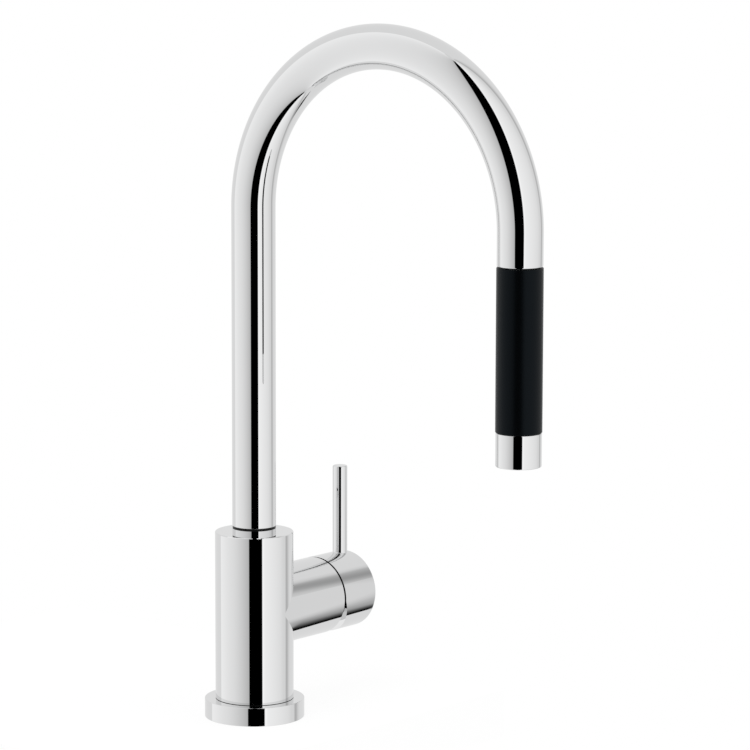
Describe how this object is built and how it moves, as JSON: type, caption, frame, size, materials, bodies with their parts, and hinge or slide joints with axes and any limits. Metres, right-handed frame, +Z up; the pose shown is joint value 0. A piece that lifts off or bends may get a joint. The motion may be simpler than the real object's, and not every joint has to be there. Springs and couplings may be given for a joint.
{
  "type": "pull-out kitchen faucet",
  "caption": "Single-lever kitchen faucet with a round column, tall swivelling gooseneck spout, pull-out spray with a dark grip, and a side lever with an upright pin.",
  "frame": {"origin": "on the column's axis, at the deck plane under the base flange", "axes": "+Z up the column, -Y along the spout, +X along the lever's housing"},
  "size_m": [0.1167, 0.2436, 0.4226],
  "materials": {
    "chrome": "polished chrome plating on brass",
    "grip_rubber": "satin near-black soft-touch sleeve",
    "black_plastic": "moulded black acetal",
    "grey_plastic": "moulded grey acetal",
    "brass": "machined brass",
    "steel": "machined stainless steel",
    "ceramic": "lapped alumina",
    "seal_rubber": "moulded nitrile seal",
    "hose_braid": "dark grey nylon braid over a rubber hose"
  },
  "bodies": {
    "base": {"base_flange": "chrome", "base_gasket": "seal_rubber", "joint_seal": "seal_rubber", "flange_o_ring": "seal_rubber", "faucet_body": "chrome", "swivel_bush": "black_plastic", "spout_stop_screw": "steel", "valve_manifold": "brass", "cartridge_base": "grey_plastic", "cartridge_seals": "seal_rubber", "fixed_disc": "ceramic", "cartridge_case": "grey_plastic", "cartridge_nut": "brass", "cartridge_cover_ring": "black_plastic"},
    "spout": {"spout_tube": "chrome", "spout_spigot": "brass", "spray_dock": "black_plastic", "spray_hose": "hose_braid"},
    "hose_end": {"hose_pull": "hose_braid", "hose_ferrule": "steel", "hose_connector": "brass"},
    "spray": {"spray_collar": "black_plastic", "spray_core": "grey_plastic", "hose_washer": "seal_rubber", "check_valve": "grey_plastic", "spray_grip": "grip_rubber", "spray_tip": "chrome", "tip_o_ring": "seal_rubber", "aerator_housing": "grey_plastic", "aerator_grid": "grey_plastic", "aerator_strainer": "grey_plastic", "aerator_seal": "seal_rubber"},
    "turret": {"cartridge_turret": "grey_plastic", "stem_pin": "steel"},
    "mixing_disc": {"moving_disc": "ceramic", "disc_carrier": "grey_plastic"},
    "lever": {"lever_handle": "chrome", "lever_stem": "steel", "lever_grub_screw": "steel", "lever_plug": "grey_plastic"}
  },
  "joints": [
    {"name": "spout_swivel", "type": "hinge", "parent": "base", "child": "spout", "pos_m": [0, 0, 0.1], "axis": [0, 0, 1], "range_deg": [-75, 75]},
    {"name": "spray_pull", "type": "slide", "parent": "spout", "child": "hose_end", "axis": [0, 0, -1], "range_m": [0, 0.4], "stiffness_N_per_m": 3, "springref_m": -1, "deforming": ["hose_pull"]},
    {"name": "spray_turn", "type": "hinge", "parent": "hose_end", "child": "spray", "pos_m": [0, -0.2, 0.28], "axis": [0, 0, 1], "continuous": true},
    {"name": "lever_turn", "type": "hinge", "parent": "base", "child": "turret", "pos_m": [0.0505, 0, 0.065], "axis": [1, 0, 0], "range_deg": [-45, 45]},
    {"name": "lever_lift", "type": "hinge", "parent": "turret", "child": "lever", "pos_m": [0.0505, 0, 0.065], "axis": [0, 1, 0], "range_deg": [0, 18]},
    {"name": "disc_slide", "type": "slide", "parent": "turret", "child": "mixing_disc", "axis": [0, 0, 1], "range_m": [0, 0.00283]}
  ],
  "couplings": [
    {"joint": "disc_slide", "follows": "lever_lift", "m_per_rad": 0.009}
  ]
}
